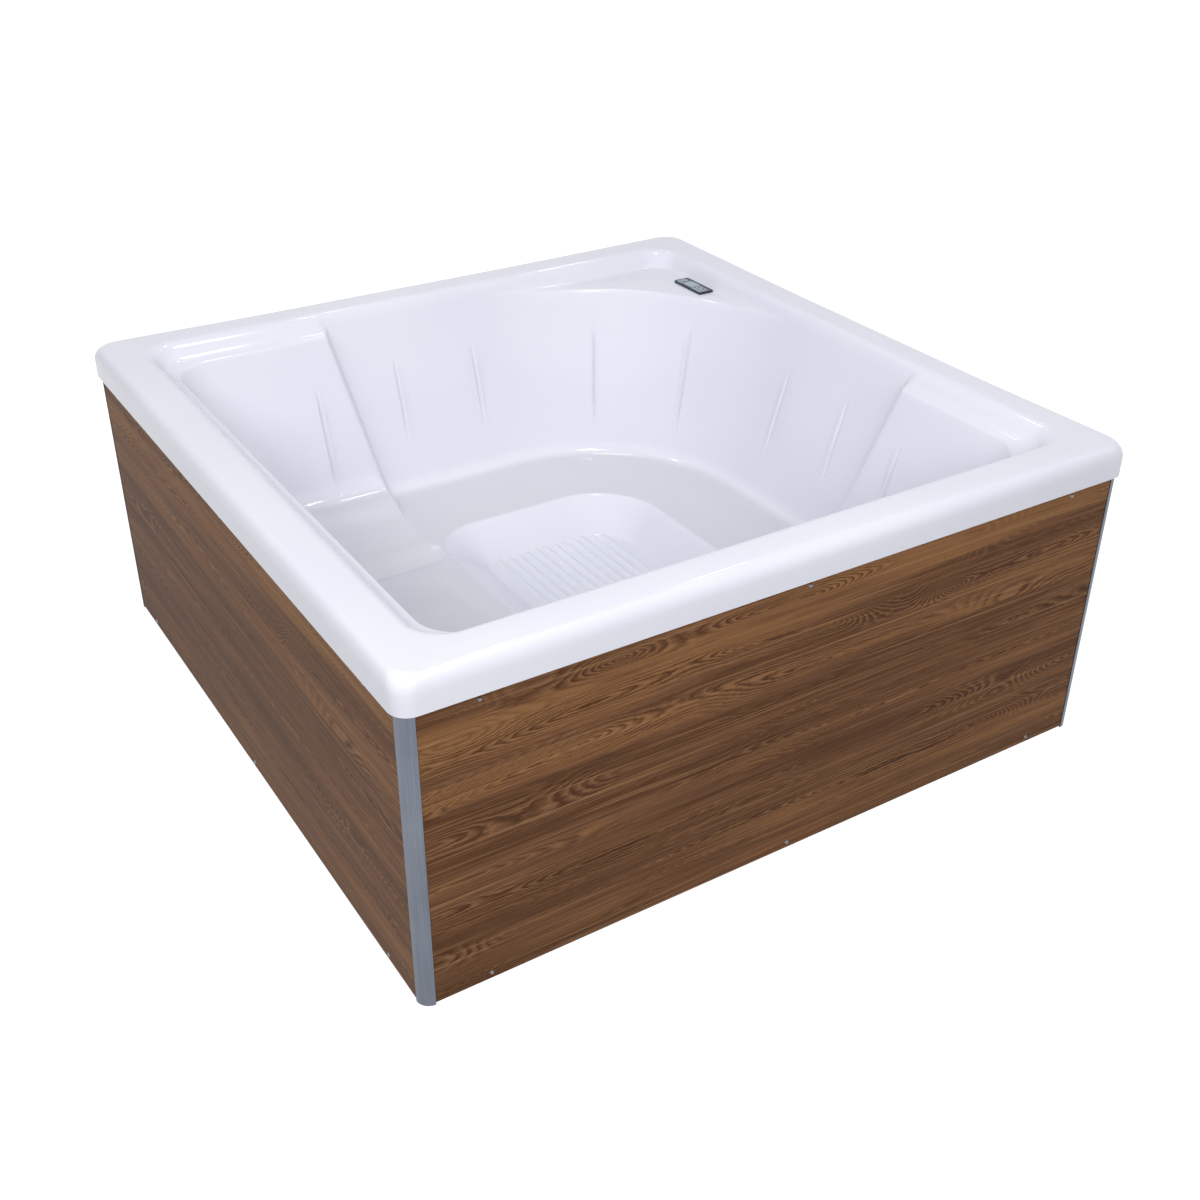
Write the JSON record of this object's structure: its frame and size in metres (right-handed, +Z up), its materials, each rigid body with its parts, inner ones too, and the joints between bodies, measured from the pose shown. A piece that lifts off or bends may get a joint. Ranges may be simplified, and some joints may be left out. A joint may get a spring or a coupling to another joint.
{
  "type": "cold plunge tub",
  "caption": "Square cold plunge tub: moulded seat, benches and footwell in a wood-clad skirt with corner posts, and a keypad on the ledge.",
  "frame": {"origin": "centre of the footprint, on the floor", "axes": "+Z up, +Y towards the back with the hose sockets, +X towards the right; the keypad's ledge is at the +X +Y corner"},
  "size_m": [1.5, 1.5, 0.64],
  "materials": {
    "acrylic": "gloss white moulded acrylic",
    "laminate": "satin wood-grain laminate",
    "post_metal": "satin grey",
    "screw_steel": "satin",
    "timber": "planed softwood",
    "pad_rubber": "matt",
    "tray_plastic": "matt",
    "dark_plastic": "satin",
    "display": "gloss",
    "key_plastic": "satin",
    "white_plastic": "gloss",
    "pipe_plastic": "satin",
    "valve_brass": "satin",
    "lever_red": "gloss",
    "motor_paint": "satin",
    "pump_plastic": "satin",
    "rotor_steel": "satin",
    "cable_rubber": "satin",
    "box_plastic": "satin"
  },
  "bodies": {
    "tub": {"acrylic_shell": "acrylic", "back_panel": "laminate", "base_tray": "tray_plastic", "bottom_rail_back": "timber", "bottom_rail_front": "timber", "bottom_rail_left": "timber", "bottom_rail_right": "timber", "cable_clips": "dark_plastic", "control_box": "box_plastic", "control_box_lid": "box_plastic", "controller_housing": "dark_plastic", "controller_window": "display", "corner_post_back_left": "post_metal", "corner_post_back_right": "post_metal", "corner_post_front_left": "post_metal", "corner_post_front_right": "post_metal", "drain_flange": "white_plastic", "drain_gasket": "pad_rubber", "drain_nut": "white_plastic", "drain_outlet": "pipe_plastic", "drain_pipe": "pipe_plastic", "drain_tail_pipe": "pipe_plastic", "drain_valve_body": "valve_brass", "fitting_nuts": "white_plastic", "floor_joists": "timber", "footwell_board": "timber", "front_panel": "laminate", "keypad_cable": "cable_rubber", "left_panel": "laminate", "mains_gland": "dark_plastic", "panel_screws": "screw_steel", "pressure_pipe": "pipe_plastic", "pump_bracket": "tray_plastic", "pump_cable": "cable_rubber", "pump_motor_case": "motor_paint", "pump_seal_plate": "pump_plastic", "pump_volute": "pump_plastic", "return_fitting": "white_plastic", "return_pipe": "pipe_plastic", "return_union": "pipe_plastic", "right_panel": "laminate", "rubber_pads": "pad_rubber", "suction_fitting": "white_plastic", "suction_pipe": "pipe_plastic", "supply_union": "pipe_plastic", "top_rail_back": "timber", "top_rail_front": "timber", "top_rail_left": "timber", "top_rail_right": "timber", "upright_back_left": "timber", "upright_back_right": "timber", "upright_front_left": "timber", "upright_front_right": "timber"},
    "key_left": {"controller_key_left": "key_plastic"},
    "key_middle": {"controller_key_middle": "key_plastic"},
    "key_right": {"controller_key_right": "key_plastic"},
    "plug": {"drain_plug": "white_plastic"},
    "valve": {"drain_valve_ball": "rotor_steel", "drain_valve_lever": "lever_red"},
    "rotor": {"pump_rotor": "rotor_steel"}
  },
  "joints": [
    {"name": "press_key_left", "type": "slide", "parent": "tub", "child": "key_left", "axis": [0, 0, -1], "range_m": [0, 0.0012], "stiffness_N_per_m": 400, "springref_m": -0.001},
    {"name": "press_key_middle", "type": "slide", "parent": "tub", "child": "key_middle", "axis": [0, 0, -1], "range_m": [0, 0.0012], "stiffness_N_per_m": 400, "springref_m": -0.001},
    {"name": "press_key_right", "type": "slide", "parent": "tub", "child": "key_right", "axis": [0, 0, -1], "range_m": [0, 0.0012], "stiffness_N_per_m": 400, "springref_m": -0.001},
    {"name": "lift_plug", "type": "slide", "parent": "tub", "child": "plug", "axis": [0, 0, 1], "range_m": [0, 0.009]},
    {"name": "turn_drain_valve", "type": "hinge", "parent": "tub", "child": "valve", "pos_m": [0.08, 0.57, 0.06], "axis": [0, 0, 1], "range_deg": [0, 90]},
    {"name": "spin_rotor", "type": "hinge", "parent": "tub", "child": "rotor", "pos_m": [-0.635, -0.08, 0.1], "axis": [0, 1, 0], "continuous": true}
  ]
}
